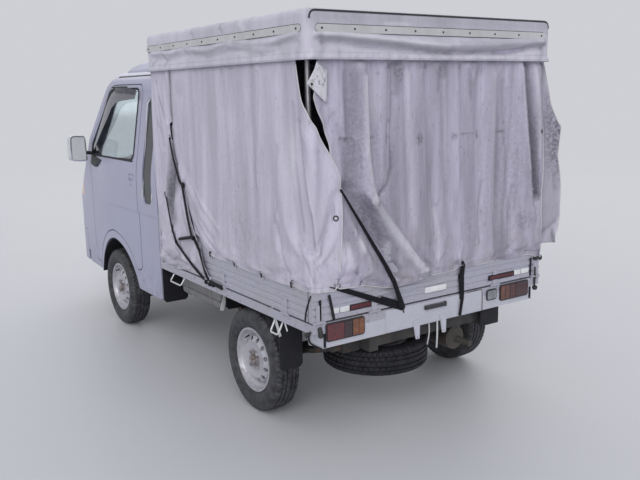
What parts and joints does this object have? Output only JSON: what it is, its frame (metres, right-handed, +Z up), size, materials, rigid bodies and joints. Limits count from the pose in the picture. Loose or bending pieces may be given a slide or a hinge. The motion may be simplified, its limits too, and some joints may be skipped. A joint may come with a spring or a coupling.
{
  "type": "kei truck with canvas cover",
  "caption": "Small cab-over truck with a long cab, drop-side load bed and a weathered canvas cover on hoops.",
  "frame": {"origin": "on the ground, midway along the truck's length and width", "axes": "+Z up, -Y forward, +X to the truck's left"},
  "size_m": [1.7668, 3.402, 1.942],
  "materials": {
    "silver_paint": "satin, weathered",
    "underbody_black": "matt",
    "cast_black": "matt, lightly rusted",
    "engine_metal": "cast",
    "exhaust_steel": "dull, heat stained",
    "tank_steel": "matt",
    "hoop_steel": "galvanised",
    "wheel_steel": "satin, dirty",
    "tyre_rubber": "matt",
    "black_rubber": "matt",
    "canvas": "coated canvas, weathered",
    "seat_vinyl": "vinyl",
    "grey_plastic": "grained",
    "clear_glass": "clear",
    "black_plastic": "grained",
    "lamp_clear": "clear lens",
    "lamp_red": "lens"
  },
  "bodies": {
    "chassis": {"chassis_frame": "underbody_black", "cab_shell": "silver_paint", "cab_floor": "silver_paint", "cab_glass": "clear_glass", "front_bumper": "silver_paint", "headlamps": "lamp_clear", "dashboard": "grey_plastic", "seats": "seat_vinyl", "load_bed": "silver_paint", "rear_valance": "silver_paint", "tail_lamps": "lamp_red", "canopy_hoops": "hoop_steel", "canopy_rails": "hoop_steel", "canopy_roof": "canvas", "left_curtain": "canvas", "right_curtain": "canvas", "rear_curtain": "canvas", "cover_straps": "black_rubber", "rear_axle": "cast_black", "engine": "engine_metal", "propeller_shaft": "cast_black", "exhaust": "exhaust_steel", "fuel_tank": "tank_steel", "spare_wheel": "wheel_steel", "spare_tyre": "tyre_rubber", "mud_flaps": "black_rubber"},
    "left_door": {"left_door": "silver_paint", "left_door_glass": "clear_glass", "left_mirror": "black_plastic"},
    "right_door": {"right_door": "silver_paint", "right_door_glass": "clear_glass", "right_mirror": "black_plastic"},
    "left_gate": {"left_gate": "silver_paint"},
    "right_gate": {"right_gate": "silver_paint"},
    "tailgate": {"tailgate": "silver_paint"},
    "left_knuckle": {"left_knuckle": "cast_black"},
    "right_knuckle": {"right_knuckle": "cast_black"},
    "steering_rack": {"steering_rack": "cast_black"},
    "steering_wheel": {"steering_wheel": "grey_plastic"},
    "front_left_wheel": {"front_left_rim": "wheel_steel", "front_left_tyre": "tyre_rubber"},
    "front_right_wheel": {"front_right_rim": "wheel_steel", "front_right_tyre": "tyre_rubber"},
    "rear_left_wheel": {"rear_left_rim": "wheel_steel", "rear_left_tyre": "tyre_rubber"},
    "rear_right_wheel": {"rear_right_rim": "wheel_steel", "rear_right_tyre": "tyre_rubber"}
  },
  "joints": [
    {"name": "front_left_wheel_roll", "type": "hinge", "parent": "left_knuckle", "child": "front_left_wheel", "pos_m": [0.6525, -0.8085, 0.268], "axis": [1, 0, 0], "continuous": true},
    {"name": "front_right_wheel_roll", "type": "hinge", "parent": "right_knuckle", "child": "front_right_wheel", "pos_m": [-0.6525, -0.8085, 0.268], "axis": [1, 0, 0], "continuous": true},
    {"name": "rear_left_wheel_roll", "type": "hinge", "parent": "chassis", "child": "rear_left_wheel", "pos_m": [0.65, 1.0915, 0.268], "axis": [1, 0, 0], "continuous": true},
    {"name": "rear_right_wheel_roll", "type": "hinge", "parent": "chassis", "child": "rear_right_wheel", "pos_m": [-0.65, 1.0915, 0.268], "axis": [1, 0, 0], "continuous": true},
    {"name": "left_steer", "type": "hinge", "parent": "chassis", "child": "left_knuckle", "pos_m": [0.6, -0.8085, 0.19], "axis": [-0.2124, 0, 0.9772], "range_deg": [-33, 33]},
    {"name": "left_door_hinge", "type": "hinge", "parent": "chassis", "child": "left_door", "pos_m": [0.701, -1.291, 0.9], "axis": [0, 0, -1], "range_deg": [0, 65]},
    {"name": "left_gate_hinge", "type": "hinge", "parent": "chassis", "child": "left_gate", "pos_m": [0.743, 0.864, 0.609], "axis": [0, 1, 0], "range_deg": [0, 160], "deforming": ["left_curtain", "cover_straps"]},
    {"name": "right_steer", "type": "hinge", "parent": "chassis", "child": "right_knuckle", "pos_m": [-0.6, -0.8085, 0.19], "axis": [0.2124, 0, 0.9772], "range_deg": [-33, 33]},
    {"name": "right_door_hinge", "type": "hinge", "parent": "chassis", "child": "right_door", "pos_m": [-0.701, -1.291, 0.9], "axis": [0, 0, 1], "range_deg": [0, 65]},
    {"name": "right_gate_hinge", "type": "hinge", "parent": "chassis", "child": "right_gate", "pos_m": [-0.743, 0.864, 0.609], "axis": [0, -1, 0], "range_deg": [0, 160], "deforming": ["right_curtain"]},
    {"name": "tailgate_hinge", "type": "hinge", "parent": "chassis", "child": "tailgate", "pos_m": [0, 1.703, 0.609], "axis": [-1, 0, 0], "range_deg": [0, 155], "deforming": ["rear_curtain", "cover_straps"]},
    {"name": "rack_slide", "type": "slide", "parent": "chassis", "child": "steering_rack", "axis": [1, 0, 0], "range_m": [-0.063, 0.063]},
    {"name": "steering_wheel_turn", "type": "hinge", "parent": "chassis", "child": "steering_wheel", "pos_m": [-0.33, -1.075, 1.08], "axis": [0, 0.5708, 0.8211], "range_deg": [-570, 570]}
  ],
  "couplings": [
    {"joint": "right_steer", "follows": "left_steer", "ratio": 1},
    {"joint": "rack_slide", "follows": "left_steer", "m_per_rad": -0.105},
    {"joint": "steering_wheel_turn", "follows": "left_steer", "ratio": 17}
  ]
}
